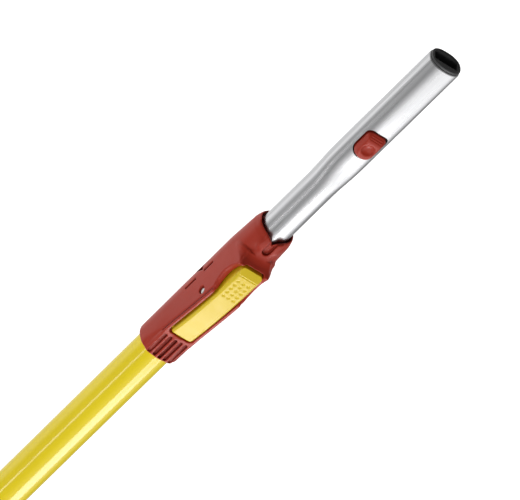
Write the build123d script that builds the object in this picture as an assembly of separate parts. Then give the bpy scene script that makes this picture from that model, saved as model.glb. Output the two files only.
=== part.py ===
from build123d import *
import os
from math import acos, atan2, cos, hypot, pi, sin

# Roller extension pole: a round tube that telescopes in a painted tube and is held by a
# rocker lever in a moulded lock. The pole stands on its end cap at z = 0 and points up +Z.
# The lever and the push-button face -Y, which the comments call the front.

# ---- driving dimensions, mm ----
FIT = 0.05                 # radial running clearance of turned and sliding fits
GAP = 0.3                  # clearance between pieces that pass each other

OUTER_R = 15.25            # painted tube, outside
SEAT_R = 14.9              # painted tube's drawn-down end, inside the lock
OUTER_BORE = 13.75         # painted tube, inside
CAP_R = 15.0
CAP_SPIGOT = 14.0          # length of the cap inside the tube
CAP_BORE = 11.5
CAP_HEIGHT = 16.0          # end cap below the painted tube
HANG_R = 3.5               # cord hole across the end cap
HANG_Z = 8.5
RIVET_R = 1.6
RIVET_Z = 24.0
OUTER_TOP = 573.0          # top end of the painted tube, inside the lock
STOP_LOW = 472.0           # ring crimped in the painted tube that ends the slide
STOP_HIGH = 473.5

INNER_R = 12.7             # one-inch sliding tube, outside
INNER_WALL = 1.2
INNER_LOW = 95.0           # lower end of the sliding tube at rest
SWAGE_LOW = 669.0          # round below this height
SWAGE_HIGH = 696.0         # oval above this height
OVAL_X = 14.0              # half width of the oval end, side to side
OVAL_Y = 11.15             # half width of the oval end, front to back
OVAL_POWER = 2.4           # how square the oval is: 2 is an ellipse
TIP = 817.0                # end face of the tip plug
PLUG_FLANGE = 2.5
PLUG_LONG = 34.0           # the plug's spigot inside the tube
TONGUE_X = 21.4            # pocket for a tool's tongue
TONGUE_Y = 9.0
TONGUE_DEEP = 31.0
BUSH_LONG = 27.0           # sliding bush at the tube's lower end
PLUG_BORE = 7.0

LOCK_BASE = 462.0          # lower rim of the lock housing
LOCK_MOUTH = 612.0         # upper rim of the lock housing
LOCK_R = 18.45             # round back of the housing
LOCK_HALF = 13.5           # half width of the lever bed
WIPER_LOW = 594.0
WIPER_TOP = 598.0
MOUTH_R = 14.4
NECK_Z = 597.0             # the lever bed has run out into the round neck here

SLOT_HALF = 1.5            # lengthwise slots under the lever
SLOT_PITCH = 4.7
SLOT_TOP = 485.0

SCREW_R = 1.45
SCREW_HEAD_R = 2.9
SCREW_SEAT = 17.0          # the screw heads seat this far behind the axis
SCREW_HEIGHTS = (482.0, 562.0)

LEVER_LOW = 492.0
LEVER_HIGH = 582.6
LEVER_HALF = 9.4
LEVER_WALL = 2.0
LEVER_BEVEL = 1.5
PIVOT_Z = 538.0
PIVOT_FRONT = 17.2         # pivot pin's distance in front of the pole's axis
PIVOT_R = 1.5
PIVOT_HEAD_R = 2.7
PIVOT_SEAT = 13.2          # half distance between the pin's two seats

SHOE_Z = 511.0             # middle of the brake shoe
SHOE_LONG = 22.0
SHOE_HALF = 6.0
LINK_FRONT = 18.7
LINK_R = 1.2

BUTTON_Z = 723.6           # middle of the push-button
BUTTON_LONG = 25.0
BUTTON_HALF = 8.7
BUTTON_FACE_HALF = 6.5
BUTTON_PROUD = 4.3
CARRIER_SCREW_UP = 16.0    # the carrier's screw, above the button's middle


# ---- shared shapes ----
def tube(low, high, outside, inside):
    """An upright ring between two heights."""
    ring = Circle(outside) - Circle(inside)
    return Pos(0, 0, low) * extrude(ring, high - low)


def core(low, high, radius):
    """A solid upright cylinder between two heights."""
    return Pos(0, 0, (low + high) / 2) * Cylinder(radius, high - low)


def rod_x(radius, low_x, high_x, front, z):
    """A round rod along X, at a distance in front of the pole's axis."""
    middle = (low_x + high_x) / 2
    return Pos(middle, -front, z) * Rot(0, 90, 0) * Cylinder(radius, high_x - low_x)


def rod_y(radius, low_y, high_y, x, z):
    """A round rod along Y."""
    middle = (low_y + high_y) / 2
    return Pos(x, middle, z) * Rot(90, 0, 0) * Cylinder(radius, high_y - low_y)


def block(half_x, low_front, high_front, low_z, high_z):
    """A block centred on x = 0 that reaches from one front distance to another."""
    size = (2 * half_x, high_front - low_front, high_z - low_z)
    return Pos(0, -(low_front + high_front) / 2, (low_z + high_z) / 2) * Box(*size)


def side_plate(points, half_x):
    """A plate across X, from a side view given as (z, front distance) points."""
    outline = Polyline([(0, -front, z) for z, front in points], close=True)
    return extrude(make_face(outline), half_x, dir=(1, 0, 0), both=True)


def oval_face(half_x, half_y, power, z, points=32):
    """A superellipse as a smooth closed curve."""
    ring = []
    for step in range(points):
        turn = 2 * pi * step / points
        c, s = cos(turn), sin(turn)
        x = half_x * abs(c) ** (2 / power) * (1 if c >= 0 else -1)
        y = half_y * abs(s) ** (2 / power) * (1 if s >= 0 else -1)
        ring.append((x, y, z))
    return make_face(Spline(*ring, periodic=True))


def oval_block(low, high, inset=0.0):
    """An upright block that follows the oval end of the sliding tube."""
    face = oval_face(OVAL_X - inset, OVAL_Y - inset, OVAL_POWER, low)
    return extrude(face, high - low, dir=(0, 0, 1))


# ---- painted tube and its end ----
def outer_tube():
    body = tube(CAP_HEIGHT, LOCK_BASE - 1, OUTER_R, OUTER_BORE)
    body += tube(LOCK_BASE - 1, OUTER_TOP, SEAT_R, OUTER_BORE)
    half_window = SHOE_LONG / 2 + 1.2
    window = block(SHOE_HALF + 0.6, 5, OUTER_R + 5, SHOE_Z - half_window, SHOE_Z + half_window)
    body -= window
    for z in SCREW_HEIGHTS:
        body -= rod_y(SCREW_R, 5, OUTER_R + 1, 0, z)
    return body - rod_x(RIVET_R, -20, 20, 0, RIVET_Z)


def end_cap():
    """A moulded cap: a chamfered head, a hollow spigot in the tube and a cord hole."""
    head = core(0, CAP_HEIGHT, CAP_R)
    body = chamfer(head.edges().sort_by(Axis.Z)[0], 4.0)
    body += tube(CAP_HEIGHT, CAP_HEIGHT + CAP_SPIGOT, OUTER_BORE, CAP_BORE)
    body -= rod_x(HANG_R, -20, 20, 0, HANG_Z)
    return body - rod_x(RIVET_R, -20, 20, 0, RIVET_Z)


def end_cap_rivets():
    """Two rivets, dressed flush with the painted tube."""
    rivets = []
    for side in (-1, 1):
        low_x, high_x = sorted((side * CAP_BORE, side * (OUTER_R + 1)))
        rivet = rod_x(RIVET_R, low_x, high_x, 0, RIVET_Z)
        rivets.append(rivet & core(RIVET_Z - 5, RIVET_Z + 5, OUTER_R))
    return rivets


def stop_ring():
    return tube(STOP_LOW, STOP_HIGH, OUTER_BORE, INNER_R + 0.25)


# ---- lock housing ----
def lock_section(z, radius, front, half):
    """Round back, two flat flanks tangent to it and a flat front for the lever."""
    reach = hypot(half, front)
    lean = atan2(half, front) + acos(radius / reach)
    touch = (radius * sin(lean), -radius * cos(lean))
    right, left = (touch[0], touch[1], z), (-touch[0], touch[1], z)
    front_right, front_left = (half, -front, z), (-half, -front, z)
    edges = [
        ThreePointArc(right, (0, radius, z), left),
        Line(left, front_left),
        Line(front_left, front_right),
        Line(front_right, right),
    ]
    return make_face(edges)


def lever_face(z):
    """Distance of the lever's gently bowed face in front of the axis."""
    rise = z - LEVER_LOW
    return 19.9 + 0.210 * rise - 0.00113 * rise**2


def lock_bulge():
    """The body of the housing, up to the neck under the mouth."""
    stations = [
        (LOCK_BASE, LOCK_R - 1.2, 16.6, 10.8),
        (LOCK_BASE + 3, LOCK_R, 17.6, 11.8),
        (LEVER_LOW, LOCK_R, 18.6, LOCK_HALF),
        (524.0, LOCK_R, 22.9, LOCK_HALF),
        (557.0, LOCK_R, 27.0, LOCK_HALF),
        (584.5, 18.3, 28.1, LOCK_HALF - 0.3),
        (590.5, 17.8, 20.0, 10.5),
        (NECK_Z, 17.5, 17.8, 4.0),
    ]
    return loft([lock_section(*station) for station in stations], ruled=True)


def lock_mouth():
    """The domed collar round the mouth."""
    outline = [(12, NECK_Z), (17.5, NECK_Z), (17.4, 600), (17.15, 604.4), (16.15, 608.9)]
    outline += [(14.95, LOCK_MOUTH), (12, LOCK_MOUTH)]
    wall = make_face(Polyline([(x, 0, z) for x, z in outline], close=True))
    return revolve(wall, Axis.Z)


def thumb_scoop():
    """The two side walls dip where the thumb lands on the lever."""
    low, high = (0, -26.2, 549), (0, -29.0, 584.6)
    arc = ThreePointArc(low, (0, -20.0, 565), high)
    rim = Polyline(high, (0, -40, 584.6), (0, -40, 549), low)
    face = make_face(arc.edges() + rim.edges())
    return extrude(face, 30, dir=(1, 0, 0), both=True)


def grip_slots():
    """Five lengthwise slots that run out of the lower rim."""
    slots = []
    for place in range(-2, 3):
        slot = block(SLOT_HALF, 16.3, 24, LOCK_BASE - 1, SLOT_TOP)
        slot += rod_y(SLOT_HALF, -24, -16.3, 0, SLOT_TOP)
        slots.append(Pos(SLOT_PITCH * place, 0, 0) * slot)
    return slots


def snap_windows():
    """Three narrow windows in the housing's left wall, given as heights and a turn."""
    windows = []
    for low, high, turn in ((520.4, 533.7, 7.6), (533.5, 542.3, -13.0), (544.0, 555.4, 7.6)):
        cut = Pos(-17, 0, (low + high) / 2) * Box(8, 1.2, high - low)
        windows.append(Rot(0, 0, turn) * cut)
    return windows


def lock_housing():
    body = lock_bulge() + lock_mouth()
    body -= core(LOCK_BASE - 1, WIPER_TOP, SEAT_R)
    body -= core(WIPER_TOP - 1, LOCK_MOUTH + 1, MOUTH_R)
    body -= block(LEVER_HALF + 0.35, 8, 45, LEVER_LOW - 0.6, LEVER_HIGH + 1.3)
    body -= thumb_scoop()
    notch = [(0, 603.4), (4.5, 607.5), (13, 612.5), (13, 620)]
    notch += [(-13, 620), (-13, 612.5), (-4.5, 607.5)]
    wedge = make_face(Polyline([(x, 0, z) for x, z in notch], close=True))
    body -= extrude(wedge, 25, dir=(0, -1, 0))
    for cut in grip_slots() + snap_windows():
        body -= cut
    body -= rod_x(PIVOT_R, -20, 20, PIVOT_FRONT, PIVOT_Z)
    for side in (-1, 1):
        seat_in, seat_out = sorted((side * PIVOT_SEAT, side * 20))
        body -= rod_x(PIVOT_HEAD_R + 0.2, seat_in, seat_out, PIVOT_FRONT, PIVOT_Z)
    for z in SCREW_HEIGHTS:
        body -= rod_y(SCREW_R, 14, 20, 0, z) + rod_y(SCREW_HEAD_R, SCREW_SEAT, 20, 0, z)
    return body


def housing_screws():
    """Two pan-head screws through the back of the housing into the painted tube."""
    screws = []
    for z in SCREW_HEIGHTS:
        shank = rod_y(SCREW_R, 13.9, SCREW_SEAT, 0, z)
        head = rod_y(SCREW_HEAD_R, SCREW_SEAT, SCREW_SEAT + 1.6, 0, z)
        cross = Pos(0, 18.4, z) * (Box(3.4, 1.2, 0.7) + Box(0.7, 1.2, 3.4))
        screws.append(shank + head - cross)
    return screws


def guide_bush():
    return tube(OUTER_TOP, WIPER_LOW, SEAT_R, INNER_R + FIT)


def wiper_ring():
    return tube(WIPER_LOW, WIPER_TOP, SEAT_R, INNER_R + 0.25)


# ---- lever ----
def lever_section(z, front, half, low, bevel):
    """A block across the lever with its two front edges bevelled."""
    points = [(-half, low), (-half, front - bevel), (bevel - half, front)]
    points += [(half - bevel, front), (half, front - bevel), (half, low)]
    return make_face(Polyline([(x, -y, z) for x, y in points], close=True))


def lever_shell(half, drop, low, ends, bevel):
    """The lever's outline, or its hollow when it is drawn smaller."""
    bottom, top = ends
    stations = [(z, lever_face(z) - drop) for z in (bottom, 515.0, 537.0, 558.0, 577.0)]
    stations.append((top, 27.4 - drop * 1.2))
    sections = [lever_section(z, front, half, low, bevel) for z, front in stations]
    return loft(sections, ruled=True)


def thumb_dimples():
    """Three rows of five shallow dimples on the thumb pad."""
    dimples = []
    for row in range(-1, 2):
        for step in range(5):
            z = 551.4 + 4.7 * step
            dimples.append(Pos(4.6 * row, -(lever_face(z) + 0.9), z) * Sphere(1.7))
    return dimples


def lever():
    body = lever_shell(LEVER_HALF, 0, 12.0, (LEVER_LOW, LEVER_HIGH), LEVER_BEVEL)
    ends = (LEVER_LOW + LEVER_WALL, LEVER_HIGH - LEVER_WALL)
    body -= lever_shell(LEVER_HALF - LEVER_WALL, 2.4, 5.0, ends, 0.5)
    low_side = [(480, 0), (480, 16.6), (532, 16.6), (535, 14.3), (541, 14.3)]
    low_side += [(546, 17), (590, 17), (590, 0)]
    body -= side_plate(low_side, 20)
    body -= block(LEVER_HALF - LEVER_WALL, 5, 19.5, LEVER_HIGH - 8, LEVER_HIGH + 1)
    rib_low, rib_high = SHOE_Z - 4.5, SHOE_Z + 4.5
    body += side_plate([(rib_low, 22), (rib_low, 16.8), (rib_high, 16.8), (rib_high, 23)], 2.2)
    for side in (-1, 1):
        slot = block(20, LINK_FRONT - LINK_R - GAP, LINK_FRONT + LINK_R + GAP, SHOE_Z - 0.3, SHOE_Z + 0.3)
        slot += rod_x(LINK_R + GAP, -5, 5, LINK_FRONT, SHOE_Z + side * 0.3)
        body -= slot
    body -= rod_x(PIVOT_R + FIT, -20, 20, PIVOT_FRONT, PIVOT_Z)
    for dimple in thumb_dimples():
        body -= dimple
    return body


def pivot_pin():
    shank = rod_x(PIVOT_R, -PIVOT_SEAT, PIVOT_SEAT + 1.7, PIVOT_FRONT, PIVOT_Z)
    head = rod_x(PIVOT_HEAD_R, -PIVOT_SEAT - 1.2, -PIVOT_SEAT, PIVOT_FRONT, PIVOT_Z)
    return shank + head


def pivot_clip():
    """A push nut on the pin's right end."""
    disc = rod_x(PIVOT_HEAD_R, PIVOT_SEAT, PIVOT_SEAT + 1, PIVOT_FRONT, PIVOT_Z)
    return disc - rod_x(PIVOT_R, 12, 16, PIVOT_FRONT, PIVOT_Z)


def lever_spring():
    """A torsion spring round the pivot pin that holds the thumb end out."""
    wire, coil_r, pitch, turns = 0.35, 1.95, 0.85, 3 + 1 / 12
    helix = Helix(pitch, pitch * turns, coil_r)
    spring = sweep(Plane(helix @ 0, z_dir=helix % 0) * Circle(wire), path=helix)
    for end, length in ((0, -15.0), (1, 17.5)):
        along = helix % end
        leg = Cylinder(wire, abs(length))
        flat = Plane(helix @ end, z_dir=(along.X, along.Y, 0))
        spring += flat * Pos(0, 0, length * 0.497) * leg
    return Pos(4.2, -PIVOT_FRONT, PIVOT_Z) * Rot(90, 0, 0) * Rot(0, 90, 0) * spring


# ---- brake ----
def brake_shoe():
    half = SHOE_LONG / 2
    body = block(SHOE_HALF, 8, 15.9, SHOE_Z - half, SHOE_Z + half)
    outline = [(-4, 15.5), (-4, 18.9), (-2.5, 19.7), (0, 20.3), (3, 20.3), (4, 19.5), (4, 15.5)]
    ear = side_plate([(SHOE_Z + z, front) for z, front in outline], 0.9)
    for side in (-1, 1):
        body += Pos(side * 3.9, 0, 0) * ear
    body -= core(SHOE_Z - half - 1, SHOE_Z + half + 1, 14.0)
    return body - rod_x(LINK_R, -8, 8, LINK_FRONT, SHOE_Z)


def brake_pad():
    half = SHOE_LONG / 2 - 1
    ring = tube(SHOE_Z - half, SHOE_Z + half, 14.0, INNER_R + 0.25)
    return ring & block(SHOE_HALF, 5, 20, SHOE_Z - half, SHOE_Z + half)


def link_pin():
    return rod_x(LINK_R, -5.2, 5.2, LINK_FRONT, SHOE_Z)


# ---- sliding tube ----
def tube_skin(inset):
    """The round, swaged and oval lengths of the sliding tube, outside or inside."""
    low = INNER_LOW - inset
    high = TIP - PLUG_FLANGE + inset
    radius = INNER_R - inset
    stations = [(radius, radius, 2.0, low), (radius, radius, 2.0, SWAGE_LOW)]
    stations += [(OVAL_X - inset, OVAL_Y - inset, OVAL_POWER, z) for z in (SWAGE_HIGH, high)]
    return loft([oval_face(*station) for station in stations], ruled=True)


def inner_tube():
    body = tube_skin(0) - tube_skin(INNER_WALL)
    reach = BUTTON_LONG / 2 + 0.5
    body -= block(BUTTON_HALF + 0.4, 3, 20, BUTTON_Z - reach, BUTTON_Z + reach)
    return body - rod_y(SCREW_R, 3, 20, 0, BUTTON_Z + CARRIER_SCREW_UP)


def slide_bush():
    return tube(INNER_LOW + GAP, INNER_LOW + BUSH_LONG, OUTER_BORE - FIT, INNER_R + FIT)


def bush_clip():
    low = INNER_LOW + BUSH_LONG + GAP
    return tube(low, low + 1.2, INNER_R + 0.75, INNER_R)


def lower_plug():
    flange = tube(INNER_LOW - 3, INNER_LOW, OUTER_BORE - 0.4, PLUG_BORE)
    return flange + tube(INNER_LOW, INNER_LOW + 14, INNER_R - INNER_WALL - 0.02, PLUG_BORE)


def tip_plug():
    low = TIP - PLUG_FLANGE
    body = oval_block(low, TIP) + oval_block(low - PLUG_LONG, low, INNER_WALL)
    pocket = Pos(0, 0.6, TIP - TONGUE_DEEP / 2 + 0.5) * Box(TONGUE_X, TONGUE_Y, TONGUE_DEEP + 1)
    return body - pocket


# ---- push-button ----
def button_carrier():
    body = oval_block(BUTTON_Z - 20, BUTTON_Z + 20, INNER_WALL)
    reach = BUTTON_LONG / 2 + GAP
    body -= block(BUTTON_HALF + GAP, 0.2, 20, BUTTON_Z - reach, BUTTON_Z + reach)
    body -= rod_y(5.4, -1, 3.4, 0, BUTTON_Z)
    return body - rod_y(SCREW_R, 3, 12, 0, BUTTON_Z + CARRIER_SCREW_UP)


def tip_button():
    half_long = BUTTON_LONG / 2
    face = OVAL_Y + BUTTON_PROUD
    body = block(BUTTON_HALF, 4.5, 11.0, BUTTON_Z - half_long, BUTTON_Z + half_long)
    low = [(-BUTTON_HALF, -half_long), (BUTTON_HALF, -half_long)]
    low += [(BUTTON_HALF, half_long), (-BUTTON_HALF, half_long)]
    base = make_face(Polyline([(x, -11.0, BUTTON_Z + z) for x, z in low], close=True))
    half = BUTTON_FACE_HALF
    high = [(-half, 0.8 - half_long), (half, 0.8 - half_long)]
    high += [(half, half_long - 6), (-half, half_long - 6)]
    top = make_face(Polyline([(x, -face, BUTTON_Z + z) for x, z in high], close=True))
    body += loft([base, top], ruled=True)
    body -= block(6.0, 3, 11.0, BUTTON_Z - 6, BUTTON_Z + 6)
    return body - Pos(0, -(face + 13.3), BUTTON_Z - 2) * Sphere(14.5)


def button_spring():
    wire, coil_r, turns, length = 0.45, 4.2, 4, 8.0
    helix = Helix(length / turns, length, coil_r)
    coil = sweep(Plane(helix @ 0, z_dir=helix % 0) * Circle(wire), path=helix)
    return Pos(0, 2.9, BUTTON_Z) * Rot(90, 0, 0) * coil


def carrier_screw():
    z = BUTTON_Z + CARRIER_SCREW_UP
    return rod_y(SCREW_R, 4.0, OVAL_Y, 0, z) + rod_y(2.7, OVAL_Y, OVAL_Y + 1.4, 0, z)


NODES = {
    "outer_tube": outer_tube,
    "end_cap": end_cap,
    "end_cap_rivets": end_cap_rivets,
    "stop_ring": stop_ring,
    "lock_housing": lock_housing,
    "housing_screws": housing_screws,
    "guide_bush": guide_bush,
    "wiper_ring": wiper_ring,
    "lever": lever,
    "lever_pivot_pin": pivot_pin,
    "pivot_pin_clip": pivot_clip,
    "lever_spring": lever_spring,
    "brake_shoe": brake_shoe,
    "brake_pad": brake_pad,
    "link_pin": link_pin,
    "inner_tube": inner_tube,
    "slide_bush": slide_bush,
    "bush_clip": bush_clip,
    "lower_plug": lower_plug,
    "tip_plug": tip_plug,
    "button_carrier": button_carrier,
    "tip_button": tip_button,
    "button_spring": button_spring,
    "carrier_screw": carrier_screw,
}

os.makedirs("parts", exist_ok=True)
for name, make in NODES.items():
    shape = make()
    if isinstance(shape, list):
        shape = Compound(children=shape)
    export_step(shape, f"parts/{name}.step")
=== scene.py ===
import math

import bmesh
import bpy
import numpy as np
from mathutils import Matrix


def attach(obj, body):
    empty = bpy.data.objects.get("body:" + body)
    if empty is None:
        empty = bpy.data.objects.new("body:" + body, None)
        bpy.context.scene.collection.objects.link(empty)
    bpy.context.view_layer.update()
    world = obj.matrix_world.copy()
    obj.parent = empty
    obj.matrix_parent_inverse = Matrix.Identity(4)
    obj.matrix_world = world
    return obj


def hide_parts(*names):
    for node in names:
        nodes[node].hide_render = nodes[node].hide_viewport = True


# Roller extension pole. The pieces' lengths are in millimetres until make_object() or prism() turns them
# into metres. The studio's are in metres. x is to the right, f is the distance in front of the pole's
# axis, which is -Y, and z is the height.

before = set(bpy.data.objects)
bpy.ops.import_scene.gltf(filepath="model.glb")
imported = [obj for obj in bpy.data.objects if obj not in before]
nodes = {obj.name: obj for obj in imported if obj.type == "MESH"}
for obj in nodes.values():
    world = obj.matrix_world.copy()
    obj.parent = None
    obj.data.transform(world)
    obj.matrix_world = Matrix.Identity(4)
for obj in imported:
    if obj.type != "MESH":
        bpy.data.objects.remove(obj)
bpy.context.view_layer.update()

MM = 0.001
LOCK_TOP = 600.0           # heights in the lock's own shapes are measured from here


def add_object(name, data):
    obj = bpy.data.objects.new(name, data)
    bpy.context.collection.objects.link(obj)
    return obj


# ---------------------------------------------------------------- camera
VIEW_TURN = math.radians(26.5)     # the camera stands this far round to the left of straight ahead
VIEW_TILT = math.radians(32.0)     # and looks down at this angle
LEAN_ALONG = 0.7149                # the picture's right, as shares of the pole's own direction
LEAN_ACROSS = 0.6993               # and of level
TARGET_Z = 585.6
TARGET_RIGHT = 3.35
CAMERA_FAR = 6513.0
LENS = 600.0
SENSOR = 36.0
CLIP_END = 100.0
TO_CAMERA = (-math.sin(VIEW_TURN), -math.cos(VIEW_TURN), 0.0)
TO_RIGHT = (math.cos(VIEW_TURN), -math.sin(VIEW_TURN), 0.0)


def place_camera():
    """A long lens that looks down on the pole, rolled so that the pole leans to the right."""
    level, rise = math.cos(VIEW_TILT), math.sin(VIEW_TILT)
    back = np.array([TO_CAMERA[0] * level, TO_CAMERA[1] * level, rise])
    across = np.array(TO_RIGHT)
    along = (np.array([0.0, 0.0, 1.0]) - rise * back) / level
    right = LEAN_ALONG * along + LEAN_ACROSS * across
    up = np.cross(back, right)
    place = np.array([0.0, 0.0, TARGET_Z]) + TARGET_RIGHT * across + CAMERA_FAR * back
    camera = add_object("camera", bpy.data.cameras.new("camera"))
    camera.data.lens = LENS
    camera.data.sensor_width = SENSOR
    camera.data.clip_end = CLIP_END
    matrix = camera.matrix_world.copy()
    for column, axis in enumerate((right, up, back)):
        for row in range(3):
            matrix[row][column] = axis[row]
    for row in range(3):
        matrix[row][3] = place[row] * MM
    camera.matrix_world = matrix
    bpy.context.scene.camera = camera


place_camera()


# ---------------------------------------------------------------- studio
# The light's strength round the pole: (degrees from the camera's side, towards the right, strength).
LOW_LIGHT = [(-180, 0.50), (-150, 0.80), (-120, 0.58), (-90, 0.94), (-58, 0.28), (-30, 0.40), (0, 0.24),
             (20, 0.42), (36, 0.74), (54, 1.00), (94, 1.02), (108, 0.60), (127, 0.12), (150, 0.30),
             (180, 0.50)]
SKY_LIGHT = 0.11
RAMP_TOP = 2.0                     # the strengths are stored as shares of this
HORIZON_BAND = (-0.25, 0.35)       # from the ring to the sky, as the sine of the height
LAMP_FAR = 3.0
LAMP_SIZE = 2.2
LAMP_AIM_Z = 0.6
STRIP_FAR = 1.5
STRIP_LOW = -2.2
FLOOR_HALF = 30.0
FLOOR_DROP = 0.0005                # keeps the floor clear of the cap's foot


def studio_world():
    """Soft light from all round. Below the horizon it varies round the pole, like a ring of cards."""
    world = bpy.data.worlds.new("studio")
    bpy.context.scene.world = world
    world.use_nodes = True
    tree = world.node_tree
    tree.nodes.clear()
    add = tree.nodes.new
    link = tree.links.new
    place = add("ShaderNodeTexCoord")
    dots = []
    for axis in (TO_CAMERA, TO_RIGHT, (0.0, 0.0, 1.0)):
        dot = add("ShaderNodeVectorMath")
        dot.operation = "DOT_PRODUCT"
        dot.inputs[1].default_value = axis
        link(place.outputs["Generated"], dot.inputs[0])
        dots.append(dot.outputs["Value"])
    turn = add("ShaderNodeMath")
    turn.operation = "ARCTAN2"
    link(dots[1], turn.inputs[0])
    link(dots[0], turn.inputs[1])
    share = add("ShaderNodeMapRange")
    share.inputs["From Min"].default_value = -math.pi
    share.inputs["From Max"].default_value = math.pi
    link(turn.outputs[0], share.inputs["Value"])
    ring = add("ShaderNodeValToRGB")
    ring.color_ramp.interpolation = "EASE"
    points = ring.color_ramp.elements
    while len(points) > 1:
        points.remove(points[-1])
    for index, (degrees, strength) in enumerate(LOW_LIGHT):
        at = (degrees + 180) / 360
        point = points[0] if index == 0 else points.new(at)
        point.position = at
        point.color = (*[strength / RAMP_TOP] * 3, 1)
    link(share.outputs["Result"], ring.inputs["Fac"])
    height = add("ShaderNodeMapRange")
    height.interpolation_type = "SMOOTHSTEP"
    height.inputs["From Min"].default_value = HORIZON_BAND[0]
    height.inputs["From Max"].default_value = HORIZON_BAND[1]
    link(dots[2], height.inputs["Value"])
    mix = add("ShaderNodeMix")
    mix.data_type = "RGBA"
    mix.inputs["B"].default_value = (*[SKY_LIGHT / RAMP_TOP] * 3, 1)
    link(height.outputs["Result"], mix.inputs["Factor"])
    link(ring.outputs["Color"], mix.inputs["A"])
    light = add("ShaderNodeBackground")
    light.inputs["Strength"].default_value = RAMP_TOP
    link(mix.outputs["Result"], light.inputs["Color"])
    white = add("ShaderNodeBackground")
    white.inputs["Color"].default_value = (1, 1, 1, 1)
    seen = add("ShaderNodeLightPath")
    choose = add("ShaderNodeMixShader")
    link(seen.outputs["Is Camera Ray"], choose.inputs["Fac"])
    link(light.outputs[0], choose.inputs[1])
    link(white.outputs[0], choose.inputs[2])
    out = add("ShaderNodeOutputWorld")
    link(choose.outputs[0], out.inputs["Surface"])


def area_light(name, degrees, height, watts):
    """A large soft lamp, placed by its turn from the camera's side and aimed at the lock."""
    lamp = bpy.data.lights.new(name, "AREA")
    lamp.size = LAMP_SIZE
    lamp.energy = watts
    a = math.radians(degrees)
    flat = np.array(TO_CAMERA[:2]) * math.cos(a) + np.array(TO_RIGHT[:2]) * math.sin(a)
    place = np.array([flat[0] * LAMP_FAR, flat[1] * LAMP_FAR, height])
    aim = np.array([0.0, 0.0, LAMP_AIM_Z]) - place
    aim /= np.linalg.norm(aim)
    obj = add_object(name, lamp)
    obj.location = place
    obj.rotation_euler = (math.acos(-aim[2]), 0, math.atan2(-aim[0], aim[1]))
    obj.visible_glossy = False


def strip_light(name, degrees, width, strength, high):
    """A tall softbox that shows in reflections only, from below the floor up to a height."""
    lamp = bpy.data.lights.new(name, "AREA")
    lamp.shape = "RECTANGLE"
    lamp.size = width
    lamp.size_y = high - STRIP_LOW
    lamp.energy = strength * math.pi * width * (high - STRIP_LOW)
    turn = VIEW_TURN - math.radians(degrees)
    obj = add_object(name, lamp)
    obj.location = (-math.sin(turn) * STRIP_FAR, -math.cos(turn) * STRIP_FAR, (STRIP_LOW + high) / 2)
    obj.rotation_euler = (math.pi / 2, 0, -turn)
    obj.visible_diffuse = False
    obj.visible_camera = False


def floor_material():
    """Plain and pale, with enough glow of its own to come out nearly white."""
    mat = bpy.data.materials.new("floor")
    mat.use_nodes = True
    shader = mat.node_tree.nodes["Principled BSDF"]
    shader.inputs["Base Color"].default_value = (0.8, 0.8, 0.8, 1)
    shader.inputs["Roughness"].default_value = 0.9
    shader.inputs["Specular IOR Level"].default_value = 0.0
    shader.inputs["Emission Color"].default_value = (1, 1, 1, 1)
    shader.inputs["Emission Strength"].default_value = 0.88
    return mat


def lay_floor():
    mesh = bpy.data.meshes.new("floor")
    corners = [(FLOOR_HALF * x, FLOOR_HALF * y, 0) for x, y in ((-1, -1), (1, -1), (1, 1), (-1, 1))]
    mesh.from_pydata(corners, [], [(0, 1, 2, 3)])
    floor = add_object("floor", mesh)
    mesh.materials.append(floor_material())
    floor.location.z = -FLOOR_DROP
    floor.visible_glossy = False
    floor.visible_diffuse = False
    floor.visible_shadow = False


studio_world()
lay_floor()
area_light("key", 16, height=0.35, watts=54)
area_light("fill", -110, height=0.7, watts=60)
area_light("back", 150, height=1.2, watts=58)
strip_light("right", 68, width=1.22, strength=4.4, high=-0.52)
strip_light("thin", -27, width=0.17, strength=3.6, high=-0.47)
bpy.context.scene.view_settings.view_transform = "Standard"


# ---------------------------------------------------------------- materials
PAINTED_SHADE_REACH = 0.005               # how far, in metres, the painted recess shade looks for the walls that shade it


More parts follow.
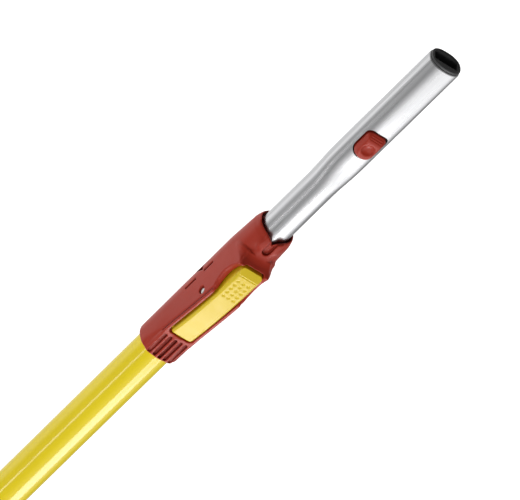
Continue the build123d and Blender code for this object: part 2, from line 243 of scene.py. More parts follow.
class Finish:
    """A Principled material with short calls for its procedural detail. Scales are per metre."""

    def __init__(self, name, **sockets):
        self.material = bpy.data.materials.new(name)
        self.material.use_nodes = True
        self.tree = self.material.node_tree
        self.shader = self.tree.nodes["Principled BSDF"]
        for socket, value in sockets.items():
            self.shader.inputs[socket.replace("_", " ")].default_value = value
        self.place = self.tree.nodes.new("ShaderNodeTexCoord").outputs["Object"]
        self.bump_input = None

    def noise(self, scale, detail=2.0, stretch=(1, 1, 1), roughness=0.5):
        """Noise in the object's own space, stretched along an axis for a grain."""
        vector = self.place
        if stretch != (1, 1, 1):
            mapping = self.tree.nodes.new("ShaderNodeMapping")
            mapping.inputs["Scale"].default_value = stretch
            self.tree.links.new(self.place, mapping.inputs["Vector"])
            vector = mapping.outputs["Vector"]
        node = self.tree.nodes.new("ShaderNodeTexNoise")
        node.inputs["Scale"].default_value = scale
        node.inputs["Detail"].default_value = detail
        node.inputs["Roughness"].default_value = roughness
        self.tree.links.new(vector, node.inputs["Vector"])
        return node.outputs["Fac"]

    def spread(self, value, low, high, start=0.3, end=0.7):
        """A value stretched from one range to another."""
        node = self.tree.nodes.new("ShaderNodeMapRange")
        node.inputs["From Min"].default_value = start
        node.inputs["From Max"].default_value = end
        node.inputs["To Min"].default_value = low
        node.inputs["To Max"].default_value = high
        self.tree.links.new(value, node.inputs["Value"])
        return node.outputs["Result"]

    def colour(self, value, first, second):
        """The base colour, drifting between two tones."""
        node = self.tree.nodes.new("ShaderNodeMix")
        node.data_type = "RGBA"
        node.inputs["A"].default_value = (*first, 1)
        node.inputs["B"].default_value = (*second, 1)
        self.tree.links.new(value, node.inputs["Factor"])
        self.tree.links.new(node.outputs["Result"], self.shader.inputs["Base Color"])

    def paint_recess_shade(self, darkest):
        """Paints shade into the colour: darkens it by ambient occlusion in the piece's own grooves and
        corners, down to a share of itself.
        """
        shade = self.tree.nodes.new("ShaderNodeAmbientOcclusion")
        shade.only_local = True
        shade.samples = 8
        shade.inputs["Distance"].default_value = PAINTED_SHADE_REACH
        tone = self.spread(shade.outputs["AO"], darkest, 1.0, start=0.25, end=0.85)
        mix = self.tree.nodes.new("ShaderNodeVectorMath")
        mix.operation = "SCALE"
        socket = self.shader.inputs["Base Color"]
        self.tree.links.new(socket.links[0].from_socket, mix.inputs[0])
        self.tree.links.new(tone, mix.inputs["Scale"])
        self.tree.links.new(mix.outputs["Vector"], socket)

    def roughness(self, value):
        self.tree.links.new(value, self.shader.inputs["Roughness"])

    def bump(self, value, strength, depth):
        """A relief, with its depth in metres."""
        node = self.tree.nodes.new("ShaderNodeBump")
        node.inputs["Strength"].default_value = strength
        node.inputs["Distance"].default_value = depth
        self.tree.links.new(value, node.inputs["Height"])
        if self.bump_input:
            self.tree.links.new(self.bump_input, node.inputs["Normal"])
        self.bump_input = node.outputs["Normal"]
        self.tree.links.new(self.bump_input, self.shader.inputs["Normal"])


def yellow_paint():
    """Gloss powder coat with a faint orange peel."""
    f = Finish("yellow_paint", Specular_IOR_Level=0.0, Coat_Weight=1.0, Coat_Roughness=0.14, Coat_IOR=1.7)
    f.colour(f.spread(f.noise(9.0, 3.0), 0, 1), (0.90, 0.70, 0.003), (0.94, 0.74, 0.005))
    f.roughness(f.spread(f.noise(60.0, 4.0), 0.27, 0.38))
    f.bump(f.noise(420.0, 1.0), 0.25, 0.00004)
    return f.material


def moulded(name, dark, light, rough, grain=0.00003, specular=0.5, painted_shade_tone=None):
    """Injection-moulded plastic: slight flow variation, uneven sheen, a fine spark-eroded grain and, when a
    shade tone is given, painted shade in its grooves and corners.
    """
    f = Finish(name, Specular_IOR_Level=specular)
    f.colour(f.spread(f.noise(35.0, 4.0, (1, 1, 0.4)), 0, 1), dark, light)
    if painted_shade_tone:
        # painted shade: the colour is darkened in grooves and corners where the piece shades itself
        f.paint_recess_shade(painted_shade_tone)
    f.roughness(f.spread(f.noise(140.0, 3.0), rough - 0.04, rough + 0.06))
    f.bump(f.noise(2600.0, 2.0), 0.5, grain)
    return f.material


def aluminium():
    """Drawn aluminium with a fine lengthwise grain and faint handling marks."""
    f = Finish("aluminium", Metallic=1.0)
    lines = f.noise(1500.0, 3.0, (1, 1, 0.012), 0.6)
    f.colour(f.spread(lines, 0, 1), (0.82, 0.825, 0.84), (0.92, 0.92, 0.93))
    f.roughness(f.spread(f.noise(900.0, 3.0, (1, 1, 0.03)), 0.26, 0.33))
    f.bump(lines, 0.05, 0.000006)
    return f.material


def steel(name, tone, rough):
    """Zinc-plated or spring steel with a light brushed grain."""
    f = Finish(name, Metallic=1.0)
    f.colour(f.spread(f.noise(700.0, 4.0), 0, 1), tuple(0.85 * v for v in tone), tone)
    f.roughness(f.spread(f.noise(1100.0, 3.0, (1, 0.2, 1)), rough - 0.06, rough + 0.08))
    f.bump(f.noise(3000.0, 1.0), 0.2, 0.00001)
    return f.material


def rubber():
    """Dull black rubber with a coarse skin."""
    f = Finish("black_rubber", Specular_IOR_Level=0.35)
    f.colour(f.spread(f.noise(300.0, 4.0), 0, 1), (0.012, 0.012, 0.012), (0.024, 0.023, 0.022))
    f.roughness(f.spread(f.noise(500.0, 3.0), 0.55, 0.75))
    f.bump(f.noise(1800.0, 3.0), 0.6, 0.00005)
    return f.material


FINISHES = {
    "yellow_paint": yellow_paint(),
    # the red plastic gets painted shade darkening its grooves and corners
    "brick_red_plastic": moulded("brick_red_plastic", (0.39, 0.031, 0.014), (0.43, 0.036, 0.017), 0.34,
                                 specular=0.40, painted_shade_tone=0.28),
    "yellow_plastic": moulded("yellow_plastic", (0.78, 0.56, 0.005), (0.82, 0.60, 0.008), 0.33,
                              specular=0.65),
    "bare_aluminium": aluminium(),
    "black_plastic": moulded("black_plastic", (0.052, 0.052, 0.053), (0.070, 0.070, 0.070), 0.38),
    "steel": steel("zinc_steel", (0.62, 0.62, 0.60), 0.30),
    "bright_steel": steel("bright_steel", (0.88, 0.88, 0.86), 0.22),
    "spring_steel": steel("spring_steel", (0.40, 0.41, 0.43), 0.24),
    "acetal": moulded("acetal", (0.74, 0.73, 0.69), (0.79, 0.78, 0.74), 0.42, 0.00001),
    "black_rubber": rubber(),
}
NODE_FINISH = {name: finish for finish, names in {
    "yellow_paint": ["outer_tube"],
    "brick_red_plastic": ["lock_housing", "tip_button"],
    "yellow_plastic": ["lever"],
    "bare_aluminium": ["inner_tube", "end_cap_rivets", "stop_ring"],
    "black_plastic": ["end_cap", "tip_plug", "button_carrier", "lower_plug", "brake_shoe"],
    "steel": ["housing_screws", "lever_pivot_pin", "link_pin", "carrier_screw"],
    "spring_steel": ["lever_spring", "button_spring", "pivot_pin_clip", "bush_clip"],
    "acetal": ["guide_bush", "slide_bush"],
    "black_rubber": ["wiper_ring", "brake_pad"],
}.items() for name in names}
for name, node in nodes.items():
    node.data.materials.clear()
    node.data.materials.append(FINISHES[NODE_FINISH[name]])


# ---------------------------------------------------------------- moulded shapes from distance fields
PROBE = 0.04                       # half the step over which a field's slope is taken
PULLS = 3                          # how many times the points are pulled onto the surface


def surface_nets(field, low, high, cell):
    """A quad mesh of the surface where field(x, front, z) is zero, pulled onto that surface."""
    axes = [np.arange(a - cell, b + 2 * cell, cell) for a, b in zip(low, high)]
    grid = field(*np.meshgrid(*axes, indexing="ij", sparse=True)).astype(np.float32)
    inside = grid < 0
    corners = [(i, j, k) for i in (0, 1) for j in (0, 1) for k in (0, 1)]
    size = [n - 1 for n in grid.shape]
    part = {c: tuple(slice(o, o + n) for o, n in zip(c, size)) for c in corners}
    count = sum(inside[part[c]].astype(np.int8) for c in corners)
    active = (count > 0) & (count < 8)
    number = np.full(active.shape, -1, dtype=np.int64)
    number[active] = np.arange(int(active.sum()))
    cells = np.argwhere(active)
    values = {c: grid[part[c]][active] for c in corners}
    total = np.zeros((len(cells), 3))
    hits = np.zeros(len(cells))
    for first in corners:
        for axis in range(3):
            if first[axis]:
                continue
            second = tuple(1 if i == axis else first[i] for i in range(3))
            a, b = values[first], values[second]
            cross = (a < 0) != (b < 0)
            share = np.where(cross, a / np.where(cross, a - b, 1), 0)
            point = np.tile(np.array(first, float), (len(cells), 1))
            point[:, axis] += share
            total[cross] += point[cross]
            hits += cross
    points = (cells + total / hits[:, None]) * cell + np.array([a[0] for a in axes])
    faces = []
    for axis in range(3):
        u, v = (axis + 1) % 3, (axis + 2) % 3
        head = [slice(None)] * 3
        tail = [slice(None)] * 3
        head[axis], tail[axis] = slice(0, -1), slice(1, None)
        cross = np.argwhere(inside[tuple(head)] != inside[tuple(tail)])
        cross = cross[(cross[:, u] > 0) & (cross[:, v] > 0)]
        cross = cross[(cross[:, u] < grid.shape[u] - 1) & (cross[:, v] < grid.shape[v] - 1)]
        quad = []
        for du, dv in ((1, 1), (0, 1), (0, 0), (1, 0)):
            at = cross.copy()
            at[:, u] -= du
            at[:, v] -= dv
            quad.append(number[tuple(at.T)])
        quad = np.stack(quad, axis=1)
        flip = ~inside[tuple(cross.T)]
        quad[flip] = quad[flip][:, ::-1]
        faces.append(quad)
    faces = np.concatenate(faces)
    for _ in range(PULLS):
        x, y, z = points.T
        value = field(x, y, z)
        slope = np.stack([field(x + PROBE, y, z) - field(x - PROBE, y, z),
                          field(x, y + PROBE, z) - field(x, y - PROBE, z),
                          field(x, y, z + PROBE) - field(x, y, z - PROBE)], axis=1) / (2 * PROBE)
        step = slope * (value / np.maximum((slope**2).sum(axis=1), 0.1))[:, None]
        long = np.linalg.norm(step, axis=1, keepdims=True)
        points -= step * np.minimum(1, 0.5 * cell / np.maximum(long, 1e-9))
    points[:, 1] *= -1
    return points, faces[:, ::-1].tolist()


def make_object(name, points, faces, finish, base_z, sharp=None):
    """A named piece from millimetre points. Heights are measured from base_z."""
    mesh = bpy.data.meshes.new(name)
    scaled = (np.asarray(points, float) + np.array([0, 0, base_z])) * MM
    mesh.from_pydata(scaled.tolist(), [], faces)
    mesh.validate()
    mesh.shade_smooth()
    if sharp:
        mesh.set_sharp_from_angle(angle=math.radians(sharp))
    obj = add_object(name, mesh)
    mesh.materials.append(FINISHES[finish])
    return obj


def hand_over(piece, body, node):
    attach(piece, body)
    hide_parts(node)


def blend_min(a, b, k):
    """The union of two fields with a fillet about k wide."""
    h = np.clip(0.5 + 0.5 * (b - a) / k, 0, 1)
    return b + (a - b) * h - k * h * (1 - h)


def blend_max(a, b, k):
    """The overlap of two fields with an edge rounded over about k."""
    return -blend_min(-a, -b, k)


def box_2d(u, v, half_u, half_v, corner):
    """A rectangle with round corners, centred on zero."""
    du, dv = np.abs(u) - half_u + corner, np.abs(v) - half_v + corner
    return np.hypot(np.maximum(du, 0), np.maximum(dv, 0)) + np.minimum(np.maximum(du, dv), 0) - corner


def slot_2d(u, v, low, high, radius):
    """A slot with round ends along v, from one centre to the other."""
    return np.hypot(u, v - np.clip(v, low, high)) - radius


def ease(value, start, end):
    """A smooth step from 0 at one value to 1 at another."""
    t = np.clip((value - start) / (end - start), 0, 1)
    return t * t * (3 - 2 * t)


# ---------------------------------------------------------------- lock housing
# Heights are from LOCK_TOP.
LOCK_R = 18.45
NECK_R = 17.4
LOCK_BASE = -138.0
BED_HALF = 13.5
MOUTH_BORE = 14.4
TUBE_BORE = 14.95                  # the painted tube's seat, below the mouth
TUBE_BORE_TOP = -2.0
PIN_Z = -62.0
PIN_FRONT = 17.2
PIN_SEAT_R = 3.25
PIN_SEAT_X = 13.1
SCREW_HEIGHTS = (-118.0, -38.0)
SCREW_SEAT_R = 3.0
SCREW_SEAT = 16.9                  # the screw heads seat this far behind the axis
GRILLE_PITCH = 4.7
GRILLE_HALF = 1.35
GRILLE_LOW, GRILLE_HIGH = -135.4, -115.0
GRILLE_FLOOR = 15.6
POCKET_Z = -62.9
POCKET_BACK = 8.0
RECESS_HALF = 3.3                  # the small recess under the notch
RECESS_LOW = -1.8
RECESS_FLOOR = 15.6
RIDGE_HEIGHTS = (0.2, 1.9, 3.6)


def arc_through(p, q, r):
    """Centre and radius of the circle through three points."""
    rows = np.array([[q[0] - p[0], q[1] - p[1]], [r[0] - p[0], r[1] - p[1]]]) * 2
    square = [v[0] ** 2 + v[1] ** 2 for v in (p, q, r)]
    centre = np.linalg.solve(rows, [square[1] - square[0], square[2] - square[0]])
    return centre, math.hypot(p[0] - centre[0], p[1] - centre[1])


SCOOP_CENTRE, SCOOP_R = arc_through((-51.0, 26.2), (-35.0, 20.0), (-15.4, 29.0))
DOME_Z = [-200, -24, -3, 0, 4.4, 8.9, 12, 16]
DOME_R = [LOCK_R, LOCK_R, 17.5, NECK_R, 17.15, 16.15, 14.95, 12.6]
SLITS = ((-79.6, -66.3, 7.6), (-56.0, -44.6, 7.6))     # lower end, upper end, turn in degrees
SLIT_HALF = 0.75
SLIT_FLOOR = 13.0                  # how far from the axis the slits and the snap recess end
SNAP_FLOOR = 15.9
SNAP_RECESS = (-68.6, -57.6, -13.0)


def bed_front(z):
    """Front of the lever bed: flat at the grille, rising beside the lever, level at the nose."""
    rising = blend_min(18.7 + 0.160 * (z + 103), 28.2 + 0 * z, 5.0)
    rising = blend_max(rising, 17.6 + 0 * z, 1.5)
    fall = 16.0 + 12.8 * (1 - np.clip((z + 16.4) / 12.0, 0, 1)) ** 2.0
    return blend_min(rising, fall + np.clip(-16.4 - z, 0, 99), 1.2)


def wall_axes(x, f, degrees):
    """Distances along the left wall and out of it, where the wall is turned by an angle."""
    a = math.radians(degrees)
    return x * math.sin(a) + f * math.cos(a), -x * math.cos(a) + f * math.sin(a)


def housing_field(x, f, z):
    """The lock's body: a round back, leaning flanks, the lever's bed, the neck and the mouth."""
    rho = np.hypot(x, f)
    skin = rho - np.interp(z, DOME_Z, DOME_R)
    front = bed_front(z)
    # the flanks lean in from the round back to a corner just under the bed's rim
    narrow = 5.0 * ease(z, -17, -6)
    round_off = 1.8 + 5.5 * ease(-z, 108, 137) + 1.2 * ease(z, -27, -15)
    corner_x, corner_f = BED_HALF + 0.5 - narrow, front - 2.7
    reach = np.hypot(corner_x, corner_f)
    radius = np.interp(z, [-24, 0], [LOCK_R, NECK_R])
    drop = 1.5 * ease(z, -6, -30)
    lean = np.arctan2(corner_f, corner_x) - np.arccos(np.clip((radius - drop) / reach, 0, 1))
    ahead = f * np.cos(lean) - np.abs(x) * np.sin(lean)
    far = np.sqrt(np.maximum(reach**2 - (radius - drop) ** 2, 9))
    bow = drop * (np.maximum(ahead, 0) / far) ** 2
    flank = np.abs(x) * np.cos(lean) + f * np.sin(lean) - radius + np.minimum(bow, 3 * drop)
    flank = np.maximum(flank, -ahead)
    hull = blend_max(flank, f - front + 1.9, round_off)
    bed = blend_max(np.abs(x) - BED_HALF + narrow, f - front, round_off - 0.5)
    bed = np.maximum(bed, -f)
    raised = blend_min(hull, bed, 0.7)
    # a fine groove along the bed's two corners
    crease = np.hypot(np.abs(x) - BED_HALF + narrow - 0.1, f - front + 1.9) - 0.85
    crease = np.maximum(crease, np.maximum(z + 22, -114 - z))
    raised = blend_max(raised, -crease, 0.25)
    soft = 0.02 + 6.5 * ease(z, -21, -11) * ease(ahead, 0.5, 7.0)
    body = blend_min(skin, raised, soft)
    # two soft swellings beside the notch
    for side in (-1, 1):
        body = body - 1.1 * np.exp(-((x - side * 8.6) ** 2 + 0.4 * (z - 1.0) ** 2) / 7.0) * (f > 0)
    # mouth: a low front lip with a notch, and a rim that rounds over
    lip = 4.2 + 7.1 * (1 - np.exp(-np.abs(x) / 4.2))
    lip = 12 + (lip - 12) * ease(f, 0, 7)
    body = blend_max(body, (z - lip) * 0.75, 1.6)
    body = blend_max(body, LOCK_BASE - z, 1.9)
    # recess under the notch, with a raised edge and three fine ridges
    ring = slot_2d(x, z, RECESS_LOW, 20.0, RECESS_HALF)
    edge = np.hypot(ring - 0.5, rho - 16.9) - 0.85
    body = blend_min(body, np.maximum(np.maximum(edge, -f), z - 5.5), 0.9)
    body = blend_max(body, -np.maximum(np.maximum(ring, RECESS_FLOOR - rho), -f), 0.6)
    for height in RIDGE_HEIGHTS:
        ridge = np.maximum(np.hypot(z - height, rho - 15.5) - 0.5, np.abs(x) - 2.6)
        body = np.minimum(body, np.maximum(ridge, -f))
    # bore
    body = blend_max(body, MOUTH_BORE - rho, 0.8)
    body = np.maximum(body, -np.maximum(rho - TUBE_BORE, z - TUBE_BORE_TOP))
    # lever pocket and the dip for the thumb
    pocket = np.maximum(box_2d(x - 0.2, z - POCKET_Z, 10.1, 47.0, 3.2), POCKET_BACK - f)
    flare = np.maximum(box_2d(x, z - POCKET_Z, 10.8, 47.8, 3.8), front - 2.6 - f)
    body = blend_max(body, -blend_min(pocket, flare, 0.8), 0.6)
    scoop = SCOOP_R - np.hypot(z - SCOOP_CENTRE[0], f - SCOOP_CENTRE[1])
    body = blend_max(body, scoop, 1.0)
    # grille slots that run out of the lower rim
    for place in range(-2, 3):
        slot = slot_2d(x - GRILLE_PITCH * place, z, GRILLE_LOW, GRILLE_HIGH, GRILLE_HALF)
        body = blend_max(body, -np.maximum(slot, GRILLE_FLOOR - f), 0.25)
    # two slits in the left wall, and between them a triangular recess
    for low, high, turn in SLITS:
        along, outward = wall_axes(x, f, turn)
        slit = box_2d(along, z - (low + high) / 2, SLIT_HALF, (high - low) / 2, 0.4)
        body = blend_max(body, -np.maximum(slit, SLIT_FLOOR - outward), 0.3)
    low, high, turn = SNAP_RECESS
    along, outward = wall_axes(x, f, turn)
    near_edge = np.interp(z, [low, high], [-2.9, 4.6])
    window = np.maximum(np.maximum(low - z, z - high), np.maximum(-3.9 - along, along - near_edge))
    body = blend_max(body, -np.maximum(window, SNAP_FLOOR - outward), 0.2)
    # seats for the pivot pin's ends and the two screws
    seat = np.maximum(np.hypot(f - PIN_FRONT, z - PIN_Z) - PIN_SEAT_R, PIN_SEAT_X - np.abs(x))
    body = blend_max(body, -seat, 0.4)
    for height in SCREW_HEIGHTS:
        seat = np.maximum(np.hypot(x, z - height) - SCREW_SEAT_R, f + SCREW_SEAT)
        body = blend_max(body, -seat, 0.4)
    return body


# ---------------------------------------------------------------- lever
LEVER_FOOT = -108.0
LEVER_HALF, LEVER_HALF_LONG = 9.5, 45.8
LEVER_HOLLOW_HALF = 7.4
THUMB_BEND = -24.2                 # above this the thumb end slopes back
LINK_Z, LINK_FRONT = -89.0, 18.7
DIMPLE_LOW = -48.6
DIMPLE_PITCH_X, DIMPLE_PITCH_Z = 4.6, 4.7
DIMPLE_R, DIMPLE_OUT = 1.72, 1.12


def lever_front(z):
    """The lever's gently bowed face."""
    rise = z - LEVER_FOOT
    return 19.9 + 0.210 * rise - 0.00113 * rise**2


def chamfer(a, b, size):
    """The overlap of two fields with a flat bevel and slightly softened arrises."""
    return blend_max(blend_max(a, b, 0.25), (a + b + size) * 0.7071, 0.5)


def lever_field(x, f, z):
    """A hollow rocker with a bevelled rim, a sloping thumb end and rows of dimples."""
    face = f - lever_front(z)
    plan = box_2d(x - 0.1, z + 63.2, LEVER_HALF, LEVER_HALF_LONG, 3.0)
    body = chamfer(plan, face, 1.5)
    # the thumb end, with a fine seam where it bends
    bend_front = lever_front(THUMB_BEND)
    tip = 0.371 * (z - THUMB_BEND) + 0.928 * (f - bend_front)
    body = blend_max(body, tip, 0.3)
    seam = np.hypot(z - THUMB_BEND, f - bend_front) - 0.45
    body = blend_max(body, -seam, 0.3)
    # the underside, with a boss for the pin, and the hollow
    under = np.interp(z, [-68, -65, -59, -54], [16.6, 14.3, 14.3, 17.0]) - f
    body = np.maximum(body, under)
    hollow = np.maximum(box_2d(x, z + 62.7, LEVER_HOLLOW_HALF, 43.3, 1.0), face + 2.4)
    body = blend_max(body, -hollow, 0.4)
    body = np.maximum(body, -np.maximum(np.maximum(np.abs(x) - LEVER_HOLLOW_HALF, -26 - z), f - 19.5))
    # the rib that holds the link pin, and the two pins' holes
    rib = np.maximum(np.maximum(np.abs(x) - 2.2, np.abs(z - LINK_Z) - 4.5), np.maximum(16.8 - f, face + 1))
    body = np.minimum(body, rib)
    body = np.maximum(body, 1.5 - np.hypot(f - LINK_FRONT, z - LINK_Z))
    body = np.maximum(body, 1.55 - np.hypot(f - PIN_FRONT, z - PIN_Z))
    for row in (-1, 0, 1):
        for step in range(5):
            at = DIMPLE_LOW + DIMPLE_PITCH_Z * step
            across, out = x - DIMPLE_PITCH_X * row, f - lever_front(at) - DIMPLE_OUT
            dimple = np.sqrt(across**2 + out**2 + (z - at) ** 2) - DIMPLE_R
            body = blend_max(body, -dimple, 0.4)
    return body


# ---------------------------------------------------------------- push-button and tip
# Heights are from LOCK_TOP.
BUTTON_Z = 123.6
BUTTON_HALF, BUTTON_HALF_LONG = 8.2, 12.7
BUTTON_CORNERS = (7.8, 4.7)        # below the middle and above it
BUTTON_FACE = 15.45
BUTTON_BACK = 4.6
BUTTON_HOLLOW = 6.0
TUBE_FRONT = 11.0
RAMP_SLOPE = 1.35
DISH_R, DISH_OUT = 7.2, 4.6
OVAL_X, OVAL_Y, OVAL_POWER = 14.0, 11.15, 2.4
TIP = 217.0
TONGUE_POCKET = (10.4, 4.5, 31.0)  # half width, half thickness and depth of the tool's pocket
POCKET_BEHIND = 0.6                # the pocket's middle is this far behind the axis


def button_field(x, f, z):
    """The push-button: tapering sides, a ramp with grip grooves at its upper end, and a round dish."""
    rise = z - BUTTON_Z
    above = np.maximum(f - TUBE_FRONT, 0)
    corner = np.where(rise < 0, *BUTTON_CORNERS)
    sides = (box_2d(x, rise + 0.3, BUTTON_HALF, BUTTON_HALF_LONG, corner) + 0.48 * above) * 0.9
    ramp = (rise - 13.1 + RAMP_SLOPE * above) * 0.595
    body = blend_max(blend_max(sides, ramp, 0.8), f - BUTTON_FACE, 1.2)
    body = np.maximum(body, BUTTON_BACK - f)
    dish = np.sqrt(x**2 + (f - BUTTON_FACE - DISH_OUT) ** 2 + (rise + 1.2) ** 2) - DISH_R
    body = blend_max(body, -dish, 0.6)
    for front in (12.3, 13.4, 14.5):
        groove = np.hypot(rise - 13.1 + RAMP_SLOPE * (front - TUBE_FRONT), f - front - 0.15) - 0.42
        body = blend_max(body, -np.maximum(groove, np.abs(x) - 5.0), 0.25)
    hollow = np.maximum(box_2d(x, rise, BUTTON_HOLLOW, BUTTON_HOLLOW, 1.0), f - TUBE_FRONT)
    return np.maximum(body, -hollow)


def oval_distance(x, f, inset):
    """Roughly the distance outside the sliding tube's oval end, drawn in by an inset."""
    a, b, power = OVAL_X - inset, OVAL_Y - inset, OVAL_POWER
    u, v = np.abs(x) / a + 1e-6, np.abs(f) / b + 1e-6
    level = (u**power + v**power) ** (1 / power)
    slope = level ** (1 - power) * np.hypot(u ** (power - 1) / a, v ** (power - 1) / b)
    return (level - 1) / slope


def plug_field(x, f, z):
    """A flange with a dished face, a spigot, and a deep pocket with ribs for the tool's tongue."""
    flange = blend_max(oval_distance(x, f, 0.9), np.abs(z - TIP + 1.25) - 1.25, 0.8)
    spigot = np.maximum(oval_distance(x, f, 1.25), np.abs(z - TIP + 19.0) - 17.4)
    body = np.minimum(flange, spigot)
    dished = np.maximum(oval_distance(x, f, 2.3), TIP - 0.6 - z)
    body = blend_max(body, -dished, 0.5)
    half_wide, half_thick, depth = TONGUE_POCKET
    middle = f + POCKET_BEHIND
    pocket = np.maximum(box_2d(x, middle, half_wide, half_thick, 0.9), TIP - depth - z)
    body = blend_max(body, -pocket, 0.7)
    rib = np.maximum(np.abs(np.abs(x) - 3.6) - 0.5, np.maximum(z - TIP + 6.0, TIP - 31.5 - z))
    rib = np.maximum(rib, np.abs(middle) - 4.7)
    return np.minimum(body, np.maximum(rib, 3.4 - np.abs(middle)))


CAP_R = 15.0
CAP_HEAD_TOP = 16.0                # the painted tube starts here
CAP_TOP = 30.0
CAP_SPIGOT_R = 13.7
CAP_BORE = 11.5
FLUTES = 36
FLUTE_DEPTH = 0.28
HANG_R, HANG_Z = 3.5, 8.5
RIVET_HOLE_R, RIVET_Z = 1.65, 24.0


def cap_field(x, f, z):
    """The end cap, with z from the floor: a fluted head, a spigot and a cord hole."""
    rho = np.hypot(x, f)
    turn = np.arctan2(f, x)
    flute = FLUTE_DEPTH * np.clip(np.cos(turn * FLUTES), 0, 1) ** 2
    flute = flute * ease(z, 5.5, 7.0) * (1 - ease(z, 13.0, 14.2)) * (np.abs(f) > 6.5)
    head = chamfer(rho - CAP_R + flute, -z, 4.0)
    head = blend_max(head, z - CAP_HEAD_TOP, 0.5)
    spigot = np.maximum(rho - CAP_SPIGOT_R, np.maximum(-z, z - CAP_TOP))
    body = np.minimum(head, spigot)
    body = np.maximum(body, -np.maximum(rho - CAP_BORE, CAP_HEAD_TOP - z))
    body = blend_max(body, HANG_R - np.hypot(f, z - HANG_Z), 1.4)
    body = np.maximum(body, RIVET_HOLE_R - np.hypot(f, z - RIVET_Z))
    foot = np.maximum(rho - 7.5, z - 0.8)
    return blend_max(body, -foot, 0.5)


def build_moulded():
    """Each piece: name, shape, the box it lies in, cell size, finish, body, node and height of z = 0."""
    pieces = [
        ("lock_shell", housing_field, (-20, -20, -139), (20, 30, 13), 0.62,
         "brick_red_plastic", "handle", "lock_housing", LOCK_TOP),
        ("lever_shell", lever_field, (-10, 10, -109), (10, 31, -16), 0.36,
         "yellow_plastic", "lever", "lever", LOCK_TOP),
        ("button_cap", button_field, (-10, 4, 109), (10, 16, 138), 0.3,
         "brick_red_plastic", "button", "tip_button", LOCK_TOP),
        ("tip_insert", plug_field, (-15, -12, 180), (15, 12, 218), 0.42,
         "black_plastic", "sliding_tube", "tip_plug", LOCK_TOP),
        ("foot_cap", cap_field, (-16, -16, -1), (16, 16, 31), 0.5,
         "black_plastic", "handle", "end_cap", 0.0),
    ]
    for name, field, low, high, cell, finish, body, node, base_z in pieces:
        points, faces = surface_nets(field, low, high, cell)
        piece = make_object(name, points, faces, finish, base_z)
        hand_over(piece, body, node)
        print("mesh", name, len(faces) * 2)


# ---------------------------------------------------------------- tubes and pin
# Heights are from the floor.
RING_POINTS = 192
TUBE_SHARP = 32                    # edges sharper than this many degrees stay crisp
CORNER_STEPS = 8
INNER_R, INNER_WALL = 12.7, 1.2
INNER_LOW = 95.0
PLUG_FLANGE = 2.5
SWAGE_LOW, SWAGE_HIGH, SWAGE_STEPS = 660.0, 702.0, 28
SWAGE_WIDER, SWAGE_THINNER = 1.3, 1.55
BUTTON_WINDOW = (9.45, 13.95, 5.5, 9.2)    # half width, half length, upper corner, lower corner
SCREW_R = 1.45
CARRIER_SCREW_UP = 16.0            # the carrier's screw, above the button's middle
OUTER_R, OUTER_BORE = 15.25, 13.75
SEATED_R = 14.9                    # the painted tube inside the lock
SEATED_FROM, OUTER_TOP = 461.0, 573.0
SHOE_WINDOW = (6.6, 12.2, 0.8, 0.8)
SHOE_Z = 511.0
RIVET_R = 1.6
PIN_HEAD_R, PIN_HEAD_TALL, PIN_SHANK_R = 3.0, 1.4, 1.5
PIN_STEPS = 32


def ring_mesh(name, rings, finish):
    """A closed tube wall from rings of equal length, the last joined to the first."""
    count = len(rings[0])
    points = np.concatenate(rings)
    faces = []
    for row in range(len(rings)):
        here, there = row * count, (row + 1) % len(rings) * count
        for step in range(count):
            after = (step + 1) % count
            faces.append((here + step, here + after, there + after, there + step))
    return make_object(name, points, faces, finish, 0.0, TUBE_SHARP)


def oval_ring(half_x, half_y, power, z):
    """A level ring of points. A power of 2 is an ellipse, and more is squarer."""
    turn = np.arange(RING_POINTS) * 2 * math.pi / RING_POINTS
    c, s = np.cos(turn), np.sin(turn)
    reach = (np.abs(c / half_x) ** power + np.abs(s / half_y) ** power) ** (-1 / power)
    return np.stack([reach * c, reach * s, np.full(RING_POINTS, z)], axis=1)


def prism(outline, low, high, axis):
    """A cutter: a closed outline carried along an axis. 1 is back to front, and 0 is side to side."""
    count = len(outline)
    points = []
    for depth in (low, high):
        for a, b in outline:
            points.append((a, -depth, b) if axis == 1 else (depth, -a, b))
    faces = [tuple(range(count)), tuple(range(2 * count - 1, count - 1, -1))]
    for step in range(count):
        after = (step + 1) % count
        faces.append((step, step + count, after + count, after))
    mesh = bpy.data.meshes.new("cutter")
    mesh.from_pydata([tuple(v * MM for v in p) for p in points], [], faces)
    fix = bmesh.new()
    fix.from_mesh(mesh)
    bmesh.ops.recalc_face_normals(fix, faces=fix.faces)
    fix.to_mesh(mesh)
    fix.free()
    return add_object("cutter", mesh)


def circle(radius, centre_v):
    """An outline for a round hole."""
    return [(radius * math.cos(a), centre_v + radius * math.sin(a)) for a in np.arange(32) * math.pi / 16]


def round_rectangle(half_u, half_v, high_corner, low_corner, centre_v):
    """An outline with one radius for its upper corners and one for its lower corners."""
    outline = []
    for quarter, (su, sv) in enumerate(((1, 1), (-1, 1), (-1, -1), (1, -1))):
        corner = high_corner if sv > 0 else low_corner
        for step in range(CORNER_STEPS + 1):
            a = (quarter + step / CORNER_STEPS) * math.pi / 2
            outline.append((su * (half_u - corner) + corner * math.cos(a),
                            centre_v + sv * (half_v - corner) + corner * math.sin(a)))
    return outline


def cut(piece, cutters):
    """Takes cutters out of a piece and removes them."""
    for cutter in cutters:
        tool = piece.modifiers.new("cut", "BOOLEAN")
        tool.operation = "DIFFERENCE"
        tool.solver = "EXACT"
        tool.object = cutter
    bpy.context.view_layer.update()
    graph = bpy.context.evaluated_depsgraph_get()
    mesh = bpy.data.meshes.new_from_object(piece.evaluated_get(graph))
    piece.modifiers.clear()
    piece.data = mesh
    mesh.shade_smooth()
    mesh.set_sharp_from_angle(angle=math.radians(TUBE_SHARP))
    for cutter in cutters:
        bpy.data.objects.remove(cutter)


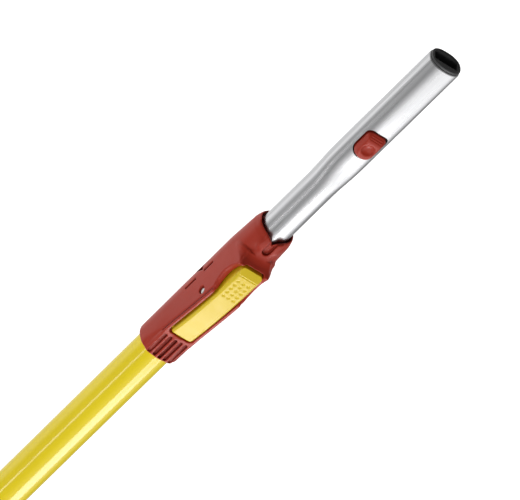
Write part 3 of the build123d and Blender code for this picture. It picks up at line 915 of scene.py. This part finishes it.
def build_inner_tube():
    """Bare tube: round, swaged to an oval with softened rims, with the button's window and a screw hole."""
    high = LOCK_TOP + TIP - PLUG_FLANGE
    skin = [(INNER_R, INNER_R, 2.0, INNER_LOW + 0.4)]
    for step in range(SWAGE_STEPS + 1):
        share = step / SWAGE_STEPS
        blend = share**3 * (10 - 15 * share + 6 * share**2)
        skin.append((INNER_R + SWAGE_WIDER * blend, INNER_R - SWAGE_THINNER * blend, 2.0 + 0.4 * blend,
                     SWAGE_LOW + (SWAGE_HIGH - SWAGE_LOW) * share))
    skin.append((OVAL_X, OVAL_Y, OVAL_POWER, high - 1.4))
    skin.append((13.85, 11.0, OVAL_POWER, high - 0.6))
    rings = [oval_ring(12.4, 12.4, 2.0, INNER_LOW)]
    rings += [oval_ring(*station) for station in skin]
    rings.append(oval_ring(13.4, 10.55, OVAL_POWER, high))
    rings.append(oval_ring(OVAL_X - INNER_WALL, OVAL_Y - INNER_WALL, OVAL_POWER, high))
    for half_x, half_y, power, z in reversed(skin[:-1]):
        rings.append(oval_ring(half_x - INNER_WALL, half_y - INNER_WALL, power, z))
    rings.append(oval_ring(INNER_R - INNER_WALL, INNER_R - INNER_WALL, 2.0, INNER_LOW))
    piece = ring_mesh("sliding_tube_shell", rings, "bare_aluminium")
    window = round_rectangle(*BUTTON_WINDOW, LOCK_TOP + BUTTON_Z)
    hole = circle(SCREW_R, LOCK_TOP + BUTTON_Z + CARRIER_SCREW_UP)
    cut(piece, [prism(window, 4.0, 20.0, 1), prism(hole, -20.0, -4.0, 1)])
    return piece


def build_outer_tube():
    """Painted tube, with a thinner stretch inside the lock, the shoe's window and the rivet holes."""
    low, top = CAP_HEAD_TOP, OUTER_TOP
    profile = [(14.95, low), (OUTER_R, low + 0.4), (OUTER_R, SEATED_FROM - 0.3), (SEATED_R, SEATED_FROM),
               (SEATED_R, top), (OUTER_BORE, top), (OUTER_BORE, low)]
    rings = [oval_ring(r, r, 2.0, z) for r, z in profile]
    piece = ring_mesh("painted_tube_shell", rings, "yellow_paint")
    window = round_rectangle(*SHOE_WINDOW, SHOE_Z)
    hole = circle(RIVET_R, RIVET_Z)
    cut(piece, [prism(window, 5.0, 20.0, 1), prism(hole, -20.0, 20.0, 0)])
    return piece


def build_pivot_pin():
    """The lever's pin, with a domed head at its left end."""
    height = LOCK_TOP + PIN_Z
    profile = []
    for step in range(1, 9):
        a = step / 8 * math.pi / 2
        profile.append((-13.5 - PIN_HEAD_TALL * math.cos(a), PIN_HEAD_R * math.sin(a)))
    profile += [(-13.2, PIN_HEAD_R), (-13.2, PIN_SHANK_R), (14.6, PIN_SHANK_R), (14.9, 1.2)]
    points, faces = [], []
    for x, r in profile:
        for step in range(PIN_STEPS):
            a = 2 * math.pi * step / PIN_STEPS
            points.append((x, r * math.cos(a) - PIN_FRONT, r * math.sin(a) + height))
    for row in range(len(profile) - 1):
        for step in range(PIN_STEPS):
            here, after = row * PIN_STEPS + step, row * PIN_STEPS + (step + 1) % PIN_STEPS
            faces.append((here, after, after + PIN_STEPS, here + PIN_STEPS))
    last = (len(profile) - 1) * PIN_STEPS
    faces.append(tuple(range(PIN_STEPS - 1, -1, -1)))
    faces.append(tuple(range(last, last + PIN_STEPS)))
    return make_object("pivot_pin_domed", points, faces, "bright_steel", 0.0, sharp=35)


def build_turned_parts():
    """The pin and the two tubes, with the body each rides on and the node it replaces."""
    for piece, body, node, finish in (
        (build_pivot_pin(), "handle", "lever_pivot_pin", "steel"),
        (build_inner_tube(), "sliding_tube", "inner_tube", "bare_aluminium"),
        (build_outer_tube(), "handle", "outer_tube", "yellow_paint"),
    ):
        hand_over(piece, body, node)


build_moulded()
build_turned_parts()
